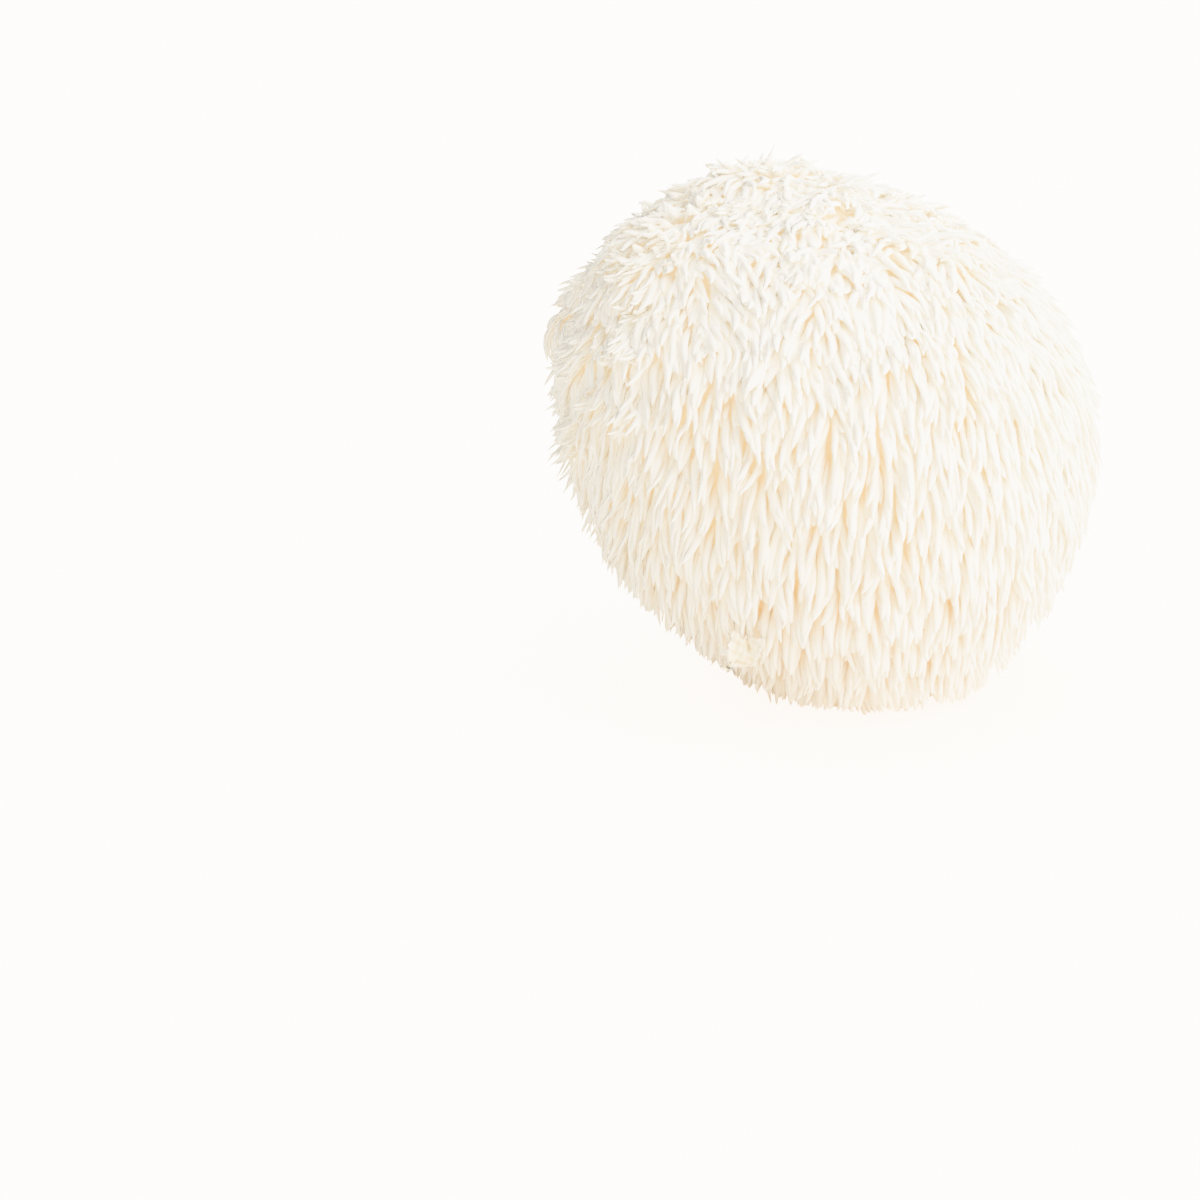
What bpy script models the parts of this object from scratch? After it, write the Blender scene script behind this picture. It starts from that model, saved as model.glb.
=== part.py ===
"""Lion's mane mushroom: one ball of flesh, cut off flat where it grew, covered all over in hanging spines.

The flesh and its spines grew as one piece, so they are one closed solid. A net of cells is laid over the
flesh, and one spine is drawn out of each cell, so that every spine is part of the surface it grows from.
"""

import math
import random

import bmesh
import bpy
from mathutils import Vector
from mathutils.bvhtree import BVHTree

# Sizes of the ball to the tips of its spines, in metres. Its long axis leans to the upper left.
HALF_LONG = 0.0710
HALF_SHORT = 0.0600
HALF_DEEP = 0.0630
LEAN = math.radians(45)
CENTRE_HEIGHT = 0.0610

# The flat cut that it rests on lies below the lowest point of the leaning ball.
CUT_RADIUS = 0.0210
CUT_CORNERS = 24
NECK_FLARE = 0.0040
NECK_FRINGE = 0.0170
BARE_NECK = 0.0045
ON_GROUND = 1e-5

# Spines: how far the tips stand off the flesh, and how far they run along it before they end.
SPINE_DEPTH = 0.0125
CROWN_SPINE_DEPTH = 0.0060
MANE_LENGTH = 0.0200
CROWN_LENGTH = 0.0085
HANG_LENGTH = 0.0210
TIP_CLEARANCE = 0.0006
SHAFT_WIDTH = 0.50
SHAFT_PLACE = 0.40
SHAFT_BULGE = 0.12
SIDE_LEAN = 0.10
CROWN_TOUSLE = 0.45
UNDERSIDE_STARTS = -0.05
UNDERSIDE_FULL = -0.65
CELL_COUNT = 830
CELL_JITTER = 0.12
SEED = 10
SLIMMING = 0.88
SLIMMING_ROUNDS = 40

# Hummocks of the crown and shoulders, and hollows between them: where, how wide, how high.
HUMMOCKS = (
    (Vector((-0.62, -0.35, 0.70)), math.radians(20), 0.0016),
    (Vector((-0.16, -0.10, 0.98)), math.radians(17), 0.0022),
    (Vector((-0.40, -0.20, 0.88)), math.radians(9), -0.0030),
    (Vector((0.66, -0.20, 0.68)), math.radians(26), 0.0020),
    (Vector((0.78, -0.30, -0.58)), math.radians(26), -0.0030),
    (Vector((-0.55, 0.60, 0.50)), math.radians(28), 0.0022),
    (Vector((0.30, 0.90, 0.20)), math.radians(24), -0.0022),
)

SPINE_COLOUR = (0.91, 0.86, 0.76, 1.0)
SPINE_ROUGHNESS = 0.62

LONG_AXIS = Vector((-math.sin(LEAN), 0, math.cos(LEAN)))
SHORT_AXIS = Vector((math.cos(LEAN), 0, math.sin(LEAN)))
DEEP_AXIS = Vector((0, 1, 0))
DOWN = Vector((0, 0, -1))


def lowest_point_offset():
    """How far to the right of its centre the leaning ball touches the ground."""
    half_height = math.sqrt((HALF_LONG**2 + HALF_SHORT**2) / 2)
    return (HALF_LONG**2 - HALF_SHORT**2) / (2 * half_height)


# The cut is centred on the origin, so the ball's centre stands up and to the left of it.
CENTRE = Vector((-lowest_point_offset(), 0, CENTRE_HEIGHT))


def smooth_step(low, high, value):
    """0 below low, 1 above high, and smooth between them."""
    share = min(1.0, max(0.0, (value - low) / (high - low)))
    return share * share * (3 - 2 * share)


def ball_radius(direction, inset=0.0):
    """Distance from the centre to the leaning ball, with its half sizes made smaller by an inset."""
    share = (
        (direction.dot(LONG_AXIS) / (HALF_LONG - inset)) ** 2
        + (direction.dot(SHORT_AXIS) / (HALF_SHORT - inset)) ** 2
        + (direction.dot(DEEP_AXIS) / (HALF_DEEP - inset)) ** 2
    )
    radius = 1 / math.sqrt(share)
    for place, width, height in HUMMOCKS:
        away = direction.angle(place) / width
        radius += height * math.exp(-away * away)
    return radius


def flesh_point(direction):
    """The point of the flesh in a direction from the centre: on the ball, or on the neck down to the cut."""
    crown = smooth_step(0.70, 0.97, direction.z)
    inset = SPINE_DEPTH + (CROWN_SPINE_DEPTH - SPINE_DEPTH) * crown
    on_ball = CENTRE + direction * ball_radius(direction, inset)
    if direction.z >= 0:
        return on_ball
    on_ground = CENTRE + direction * (-CENTRE.z / direction.z)
    near_cut = smooth_step(CUT_RADIUS + NECK_FLARE, CUT_RADIUS, on_ground.length)
    return on_ball.lerp(on_ground, near_cut)


def cut_direction(angle):
    """The direction from the centre to a point on the rim of the cut."""
    rim = Vector((CUT_RADIUS * math.cos(angle), CUT_RADIUS * math.sin(angle), 0))
    return (rim - CENTRE).normalized()


def cell_directions():
    """Directions spread evenly over the ball on a golden spiral, a little disturbed, and the rim of the cut."""
    chance = random.Random(SEED)
    golden = math.pi * (3 - math.sqrt(5))
    spacing = math.sqrt(4 * math.pi / CELL_COUNT)
    cut_middle = -CENTRE.normalized()
    cut_reach = cut_middle.angle(cut_direction(0.0))
    found = []
    for index in range(CELL_COUNT):
        height = 1 - 2 * (index + 0.5) / CELL_COUNT
        ring = math.sqrt(1 - height * height)
        turn = golden * index
        nudge = Vector([chance.uniform(-1, 1) for _ in range(3)]) * CELL_JITTER * spacing
        direction = (Vector((ring * math.cos(turn), ring * math.sin(turn), height)) + nudge).normalized()
        if direction.angle(cut_middle) > cut_reach + 0.55 * spacing:
            found.append(direction)
    for corner in range(CUT_CORNERS):
        found.append(cut_direction(2 * math.pi * corner / CUT_CORNERS))
    return found


def lay_net(bm):
    """Covers the flesh with a net of cells, and returns those that bear a spine, numbered from 1 up."""
    for direction in cell_directions():
        bm.verts.new(direction)
    bmesh.ops.convex_hull(bm, input=bm.verts[:])
    for vert in bm.verts:
        vert.co = flesh_point(vert.co.normalized())
    bmesh.ops.recalc_face_normals(bm, faces=bm.faces[:])
    cut_faces = [face for face in bm.faces if highest(face) < ON_GROUND]
    bmesh.ops.dissolve_faces(bm, faces=cut_faces)
    sides = [face for face in bm.faces if highest(face) > ON_GROUND]
    bmesh.ops.join_triangles(
        bm,
        faces=sides,
        angle_face_threshold=math.radians(60),
        angle_shape_threshold=math.radians(80),
    )
    bm.normal_update()
    number = bm.faces.layers.int.new("cell")
    bearing = [face for face in bm.faces if min(vert.co.z for vert in face.verts) > BARE_NECK]
    bearing.sort(key=lambda face: -face.calc_center_median().z)
    for index, face in enumerate(bearing):
        face[number] = index + 1
    return bearing


def highest(face):
    """The height of a face's highest corner."""
    return max(vert.co.z for vert in face.verts)


def downhill(normal):
    """The steepest way down along the surface, as long as the surface is steep."""
    return DOWN - normal * DOWN.dot(normal)


def drop_inside_ball(point):
    """How far a spine can hang from a point before it leaves the ball."""
    least, most = 0.0, HANG_LENGTH
    for _ in range(12):
        middle = (least + most) / 2
        away = point + DOWN * middle - CENTRE
        if away.length < ball_radius(away.normalized()):
            least = middle
        else:
            most = middle
    return least


def spine_path(root, normal, chance):
    """The shaft and the tip of the spine that grows at a place on the flesh.

    On the crown it is short and stands up. On the sides it lies over the spines below it and follows the
    ball down, and under the ball it hangs straight. Round the neck it hangs to the ground and hides the cut.
    """
    slope = downhill(normal)
    steep = smooth_step(0.25, 0.85, slope.length)
    by_neck = smooth_step(CUT_RADIUS + NECK_FRINGE, CUT_RADIUS + NECK_FLARE, math.hypot(root.x, root.y))
    by_neck *= smooth_step(0.0, -0.3, normal.z) if root.z > CENTRE_HEIGHT / 3 else 1.0
    under = max(smooth_step(UNDERSIDE_STARTS, UNDERSIDE_FULL, normal.z), by_neck)
    sideways = normal.cross(DOWN) * chance.gauss(0, SIDE_LEAN)
    tousled = Vector((chance.gauss(0, 1), chance.gauss(0, 1), 0)) * CROWN_TOUSLE * (1 - steep)
    run = (CROWN_LENGTH + (MANE_LENGTH - CROWN_LENGTH) * steep) * chance.uniform(0.75, 1.15)
    way = (slope + sideways + tousled).normalized()
    lie = root + way * run - CENTRE
    reach = ball_radius(lie.normalized()) * chance.uniform(0.965, 1.0)
    lying_tip = CENTRE + lie.normalized() * reach
    leaning_down = DOWN + sideways * 0.5 + Vector((normal.x, normal.y, 0)) * 0.15
    drop = drop_inside_ball(root)
    drop += (root.z - drop) * by_neck
    hanging_tip = root + leaning_down * drop * chance.uniform(0.85, 1.0)
    tip = lying_tip.lerp(hanging_tip, under)
    stand_off = (lying_tip - CENTRE).length - (root - CENTRE).length
    shaft = root.lerp(tip, SHAFT_PLACE) + normal * (1 - under) * stand_off * SHAFT_BULGE
    for point in (shaft, tip):
        point.z = max(point.z, TIP_CLEARANCE)
    return shaft, tip


class Spine:
    """One spine: a bent shaft, narrower than the cell it grows from, and a sharp tip.

    Vigour is 1 for a full spine, and less for one that has to be slimmer to clear those around it.
    """

    def __init__(self, ring, tip_vert, normal, chance):
        self.ring = ring
        self.tip_vert = tip_vert
        self.root = sum((vert.co for vert in ring), Vector()) / len(ring)
        self.shaft, self.tip = spine_path(self.root, normal, chance)
        self.width = SHAFT_WIDTH * chance.uniform(0.9, 1.1)
        turn = normal.rotation_difference((self.tip - self.root).normalized())
        self.offsets = [turn @ (vert.co - self.root) for vert in ring]
        self.vigour = 1.0

    def place(self):
        """Puts the shaft's ring and the tip where the spine's vigour takes them."""
        length = self.vigour**0.5
        shaft = self.root.lerp(self.shaft, length)
        for vert, offset in zip(self.ring, self.offsets):
            vert.co = shaft + offset * self.width * self.vigour
            vert.co.z = max(vert.co.z, TIP_CLEARANCE)
        self.tip_vert.co = self.root.lerp(self.tip, length)


def draw_out_spines(bm, cells):
    """Extrudes each cell of the net twice, closes the second end to a point, and returns the spines by cell."""
    number = bm.faces.layers.int["cell"]
    normals = {cell[number]: cell.normal.copy() for cell in cells}
    shafts = bmesh.ops.extrude_discrete_faces(bm, faces=cells)["faces"]
    rings = {face[number]: list(face.verts) for face in shafts}
    ends = bmesh.ops.extrude_discrete_faces(bm, faces=shafts)["faces"]
    tips = {face[number]: list(face.verts) for face in ends}
    merged = {vert: corners[0] for corners in tips.values() for vert in corners[1:]}
    bmesh.ops.weld_verts(bm, targetmap=merged)
    chance = random.Random(SEED + 1)
    return {cell: Spine(rings[cell], tips[cell][0], normals[cell], chance) for cell in sorted(rings)}


def crowded_cells(bm):
    """The cells whose spines run into one another."""
    number = bm.faces.layers.int["cell"]
    bm.faces.ensure_lookup_table()
    tree = BVHTree.FromBMesh(bm)
    found = set()
    for first, second in tree.overlap(tree):
        a, b = bm.faces[first], bm.faces[second]
        if first < second and not set(a.verts) & set(b.verts):
            found.update((a[number], b[number]))
    return found


def flesh_material():
    """Cream-white, dull and faintly waxy."""
    material = bpy.data.materials.new("spines")
    material.use_nodes = True
    shader = material.node_tree.nodes["Principled BSDF"]
    shader.inputs["Base Color"].default_value = SPINE_COLOUR
    shader.inputs["Roughness"].default_value = SPINE_ROUGHNESS
    shader.inputs["Metallic"].default_value = 0.0
    return material


def build_fruit_body(collection):
    """The whole mushroom as one object. Crowded spines are slimmed, round by round, until none touch."""
    bm = bmesh.new()
    spines = draw_out_spines(bm, lay_net(bm))
    bmesh.ops.triangulate(bm, faces=bm.faces[:])
    for _ in range(SLIMMING_ROUNDS):
        for spine in spines.values():
            spine.place()
        crowded = crowded_cells(bm)
        if not crowded:
            break
        for cell in crowded & set(spines):
            spines[cell].vigour *= SLIMMING
    bm.normal_update()
    mesh = bpy.data.meshes.new("fruit_body")
    bm.to_mesh(mesh)
    bm.free()
    mesh.materials.append(flesh_material())
    fruit_body = bpy.data.objects.new("fruit_body", mesh)
    collection.objects.link(fruit_body)
    return fruit_body


def main():
    for old in list(bpy.data.objects):
        bpy.data.objects.remove(old)
    collection = bpy.data.collections.new("lions_mane_mushroom")
    bpy.context.scene.collection.children.link(collection)
    build_fruit_body(collection)


main()
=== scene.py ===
"""Lion's mane mushroom: the flesh and its coat of hanging spines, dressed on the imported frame.

The flesh is a ball whose long axis leans to the upper left, cut off flat where it grew. One Geometry Nodes
tree grows the spines on it: it scatters their roots, gathers them into locks, and leads each one step by step
down the slope, out to the height where the tips lie, until it hangs. Each sector of the coat is one piece.
"""

from __future__ import annotations

import logging
import math
from collections.abc import Callable
from dataclasses import dataclass, fields
from enum import Enum

import bmesh
import bpy
import numpy as np
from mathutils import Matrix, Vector


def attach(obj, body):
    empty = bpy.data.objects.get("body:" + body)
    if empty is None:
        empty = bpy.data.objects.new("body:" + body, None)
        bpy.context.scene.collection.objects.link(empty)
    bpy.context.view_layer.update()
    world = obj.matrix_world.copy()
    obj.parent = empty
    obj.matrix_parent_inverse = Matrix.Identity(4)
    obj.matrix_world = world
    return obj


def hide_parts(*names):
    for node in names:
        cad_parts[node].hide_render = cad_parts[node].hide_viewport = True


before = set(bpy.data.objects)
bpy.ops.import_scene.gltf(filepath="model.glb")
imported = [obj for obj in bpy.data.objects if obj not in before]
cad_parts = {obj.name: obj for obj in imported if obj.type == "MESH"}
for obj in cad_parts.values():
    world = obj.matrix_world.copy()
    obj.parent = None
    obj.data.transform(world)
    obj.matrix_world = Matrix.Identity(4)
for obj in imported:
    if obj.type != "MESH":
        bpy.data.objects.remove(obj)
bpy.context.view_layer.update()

LOG = logging.getLogger("lions_mane_mushroom")

BODY = "root"
NODE = "fruit_body"
STRAND_MAP = "OFBake"
MM = 0.001
VECTOR = "FLOAT_VECTOR"
DOWN = (0.0, 0.0, -1.0)

# Directions and linear colours. A Feed is what a node's input takes: a Wire, a socket or a plain value.
Triple = tuple[float, float, float]
Feed = object


class Sector(Enum):
    """The pieces that the coat of spines is made in, by where their roots are."""

    CROWN = "crown_tufts"
    FRONT_LEFT = "front_left_mane"
    FRONT_RIGHT = "front_right_mane"
    BACK_LEFT = "back_left_mane"
    BACK_RIGHT = "back_right_mane"
    UNDERSIDE = "underside_fringe"

    @property
    def number(self) -> int:
        """The sector's place in the list, as the flesh's faces store it."""
        return list(Sector).index(self)


class Patch(Enum):
    """Soft round patches of the ball where its coat differs: the way to the middle, and the width in degrees."""

    TUFTED_LEFT = ((-0.75, 0.05, 0.62), 40)
    TUFTED_CROWN = ((-0.15, -0.10, 0.97), 34)
    SHORT_LEFT = ((-0.80, 0.0, 0.60), 36)
    SHORT_RIGHT = ((0.85, -0.30, 0.35), 48)
    SLEEK = ((0.75, -0.30, 0.60), 42)
    TOUSLED = ((-0.45, -0.45, 0.77), 26)
    THIN_FRONT = ((-0.08, -0.88, -0.42), 34)
    CURLED_LEFT = ((-0.90, 0.10, 0.42), 48)
    CURLED_CROWN = ((-0.30, 0.25, 0.92), 30)
    # Painted light and shade: warmer, darker shade at the lower front, and paler light on the right that faces the key
    # light.
    WARM_FRONT = ((0.1, -0.9, -0.4), 40)
    PALE_RIGHT = ((0.85, -0.25, 0.40), 45)

    def share(self, directions: np.ndarray) -> np.ndarray:
        """How far each direction lies in the patch, from 1 in its middle to near 0 beyond its width."""
        return hump(directions, *self.value)


def hump(directions: np.ndarray, place: Triple, degrees: float) -> np.ndarray:
    """A soft round hump on the ball.

    Args:
        directions: Unit vectors, one a row.
        place: The way to its middle.
        degrees: Its width.

    Returns:
        For each direction, a number from 1 in the middle to near 0 beyond the width.
    """
    axis = np.array(place) / np.linalg.norm(place)
    away = np.arccos(np.clip(directions @ axis, -1.0, 1.0)) / math.radians(degrees)
    return np.exp(-away * away)


def smooth_step(low: float, high: float, value: np.ndarray) -> np.ndarray:
    """Eases from 0 where a value is low to 1 where it is high."""
    share = np.clip((value - low) / (high - low), 0.0, 1.0)
    return share * share * (3 - 2 * share)


def unit_rows(vectors: np.ndarray) -> np.ndarray:
    """Brings each row to length 1."""
    return vectors / np.linalg.norm(vectors, axis=1)[:, None]


def add_object(name: str, data: bpy.types.ID) -> bpy.types.Object:
    """Puts a mesh, lamp or camera in the scene.

    Args:
        name: The object's name.
        data: What it holds.

    Returns:
        The object, at the origin.
    """
    thing = bpy.data.objects.new(name, data)
    bpy.context.scene.collection.objects.link(thing)
    return thing


def finish_mesh(name: str, bm: bmesh.types.BMesh) -> bpy.types.Mesh:
    """Turns finished mesh code into a mesh.

    Args:
        name: The mesh's name.
        bm: The code's mesh, which is freed.

    Returns:
        The mesh.
    """
    mesh = bpy.data.meshes.new(name)
    bm.to_mesh(mesh)
    bm.free()
    return mesh


def sign(operation: str, swapped: bool = False) -> Callable[[Wire, Feed], Wire]:
    """Makes the method behind an arithmetic sign on wires.

    Args:
        operation: Blender's name for the sum.
        swapped: Whether the wire stands right of the sign.

    Returns:
        The method, which adds the sum's node.
    """

    def method(wire: Wire, other: Feed) -> Wire:
        """The sum of the wire and another value."""
        return wire.graph.sum(operation, other, wire) if swapped else wire.graph.sum(operation, wire, other)

    return method


class Wire:
    """A node's output. A sign or a method on it adds a node for the sum, for numbers and for vectors alike."""

    __add__ = __radd__ = sign("ADD")
    __mul__ = sign("MULTIPLY")
    __sub__, __rsub__ = sign("SUBTRACT"), sign("SUBTRACT", swapped=True)
    __truediv__, __rtruediv__ = sign("DIVIDE"), sign("DIVIDE", swapped=True)
    __pow__ = sign("POWER")
    at_least = sign("MAXIMUM")
    at_most = sign("MINIMUM")
    dot = sign("DOT_PRODUCT")
    cross = sign("CROSS_PRODUCT")

    def __init__(self, graph: Graph, socket: bpy.types.NodeSocket) -> None:
        """Holds a socket and the graph that it is in."""
        self.graph, self.socket = graph, socket

    def through(self, operation: str) -> Wire:
        """A sum on this alone, such as NORMALIZE or SINE."""
        return self.graph.sum(operation, self)

    def beside(self, way: Wire) -> Wire:
        """The part of this vector that is square to a unit vector."""
        return self - way * self.dot(way)

    def ramp(self, bottom: Feed, top: Feed, low: float = 0.0, high: float = 1.0, **settings: str) -> Wire:
        """Goes from bottom where this is low to top where it is high, in a straight line unless a setting says how."""
        inputs = {"Value": self, "From Min": low, "From Max": high, "To Min": bottom, "To Max": top}
        return self.graph.out("ShaderNodeMapRange", inputs, **settings)

    def ease(self, low: float, high: float, bottom: float = 0.0, top: float = 1.0) -> Wire:
        """Eases from bottom where this is low to top where it is high."""
        return self.ramp(bottom, top, low, high, interpolation_type="SMOOTHSTEP")

    def parts(self) -> list[Wire]:
        """The X, Y and Z of this vector."""
        node = self.graph.node("ShaderNodeSeparateXYZ", {0: self})
        return [Wire(self.graph, socket) for socket in node.outputs]


class Graph:
    """A node tree while it is being built: adds nodes and feeds their inputs."""

    def __init__(self, tree: bpy.types.NodeTree) -> None:
        """Starts on the tree that every node goes into."""
        self.tree = tree

    def add_sockets(self, way: str, kinds: dict[str, str]) -> None:
        """Gives a group its named inputs or outputs.

        Args:
            way: INPUT or OUTPUT.
            kinds: Each one's name and kind, such as Float.
        """
        for name, kind in kinds.items():
            self.tree.interface.new_socket(name, in_out=way, socket_type=f"NodeSocket{kind}")

    def given(self) -> dict[str, Wire]:
        """The group's inputs by name."""
        return {socket.name: Wire(self, socket) for socket in self.node("NodeGroupInput").outputs if socket.name}

    def node(self, kind: str, inputs: dict | None = None, **settings: object) -> bpy.types.Node:
        """Adds a node.

        Args:
            kind: Blender's name for the node's type.
            inputs: Input name or number to what feeds it.
            **settings: The node's own settings, set before its inputs.

        Returns:
            The new node.
        """
        node = self.tree.nodes.new(kind)
        for name, value in settings.items():
            setattr(node, name, value)
        self.fill(node, inputs or {})
        return node

    def fill(self, node: bpy.types.Node, inputs: dict[str | int, Feed]) -> None:
        """Feeds a node's inputs, by name among the enabled ones or by number.

        Args:
            node: The node.
            inputs: Input name or number to the wire or socket that feeds it, or to its plain value.
        """
        for name, value in inputs.items():
            named = isinstance(name, str)
            socket = next(it for it in node.inputs if it.name == name and it.enabled) if named else node.inputs[name]
            value = value.socket if isinstance(value, Wire) else value
            if isinstance(value, bpy.types.NodeSocket):
                self.tree.links.new(value, socket)
            else:
                socket.default_value = value

    def out(self, kind: str, inputs: dict | None = None, output: str | int = 0, **settings: object) -> Wire:
        """Adds a node and gives back one of its enabled outputs.

        Args:
            kind: Blender's name for the node's type.
            inputs: As for node.
            output: The output's name, or its number among the enabled ones.
            **settings: As for node.

        Returns:
            The output.
        """
        enabled = [socket for socket in self.node(kind, inputs, **settings).outputs if socket.enabled]
        named = isinstance(output, str)
        return Wire(self, next(it for it in enabled if it.name == output) if named else enabled[output])

    def sum(self, operation: str, *values: Feed) -> Wire:
        """Adds a sum on numbers, or on vectors if one of its operands is one.

        Args:
            operation: Blender's name for it, such as MULTIPLY.
            *values: Its operands in order. The vector stands left of a number that scales it.

        Returns:
            The result.
        """
        vectors = [isinstance(it, tuple) or isinstance(it, Wire) and it.socket.type == "VECTOR" for it in values]
        if operation == "MULTIPLY" and vectors == [True, False]:
            return self.out("ShaderNodeVectorMath", {"Vector": values[0], "Scale": values[1]}, operation="SCALE")
        kind = "ShaderNodeVectorMath" if any(vectors) else "ShaderNodeMath"
        return self.out(kind, dict(enumerate(values)), operation=operation)

    def join(self, x: Feed = 0.0, y: Feed = 0.0, z: Feed = 0.0) -> Wire:
        """A vector from its X, Y and Z."""
        return self.out("ShaderNodeCombineXYZ", {0: x, 1: y, 2: z})

    def noise(self, place: Feed, scale: Feed, detail: float = 1.0, roughness: float = 0.5, **settings: bool) -> Wire:
        """Smooth noise, of a scale per metre."""
        inputs = {"Vector": place, "Scale": scale, "Detail": detail, "Roughness": roughness}
        return self.out("ShaderNodeTexNoise", inputs, **settings)

    def spectrum(self, share: Feed, *stops: tuple[float, Triple]) -> Wire:
        """Runs through colours.

        Args:
            share: Where on the way it is, from 0 to 1.
            *stops: Each colour with its place on the way, in order.

        Returns:
            The colour.
        """
        node = self.node("ShaderNodeValToRGB", {"Fac": share})
        elements = node.color_ramp.elements
        while len(elements) < len(stops):
            elements.new(0.5)
        for element, (place, colour) in zip(elements, stops):
            element.position, element.color = place, (*colour, 1.0)
        return Wire(self, node.outputs["Color"])

    def glaze(self, colour: Wire | Triple, *coats: tuple[Feed, Triple]) -> Wire:
        """Lays colours over a colour.

        Args:
            colour: What lies under them.
            *coats: The share and the colour of each, in order.

        Returns:
            The colour that shows.
        """
        for share, coat in coats:
            under = (*colour, 1.0) if isinstance(colour, tuple) else colour
            colour = self.out("ShaderNodeMix", {"Factor": share, "A": under, "B": (*coat, 1.0)}, data_type="RGBA")
        return colour

    def attribute(self, name: str, kind: str = "FLOAT") -> Wire:
        """The value of a named attribute."""
        return self.out("GeometryNodeInputNamedAttribute", {"Name": name}, data_type=kind)

    def store(self, geometry: Feed, name: str, value: Feed, kind: str = "FLOAT", domain: str = "POINT") -> Wire:
        """Stores a value under a name on a geometry, and gives back the geometry."""
        inputs = {"Geometry": geometry, "Name": name, "Value": value}
        return self.out("GeometryNodeStoreNamedAttribute", inputs, data_type=kind, domain=domain)


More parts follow.
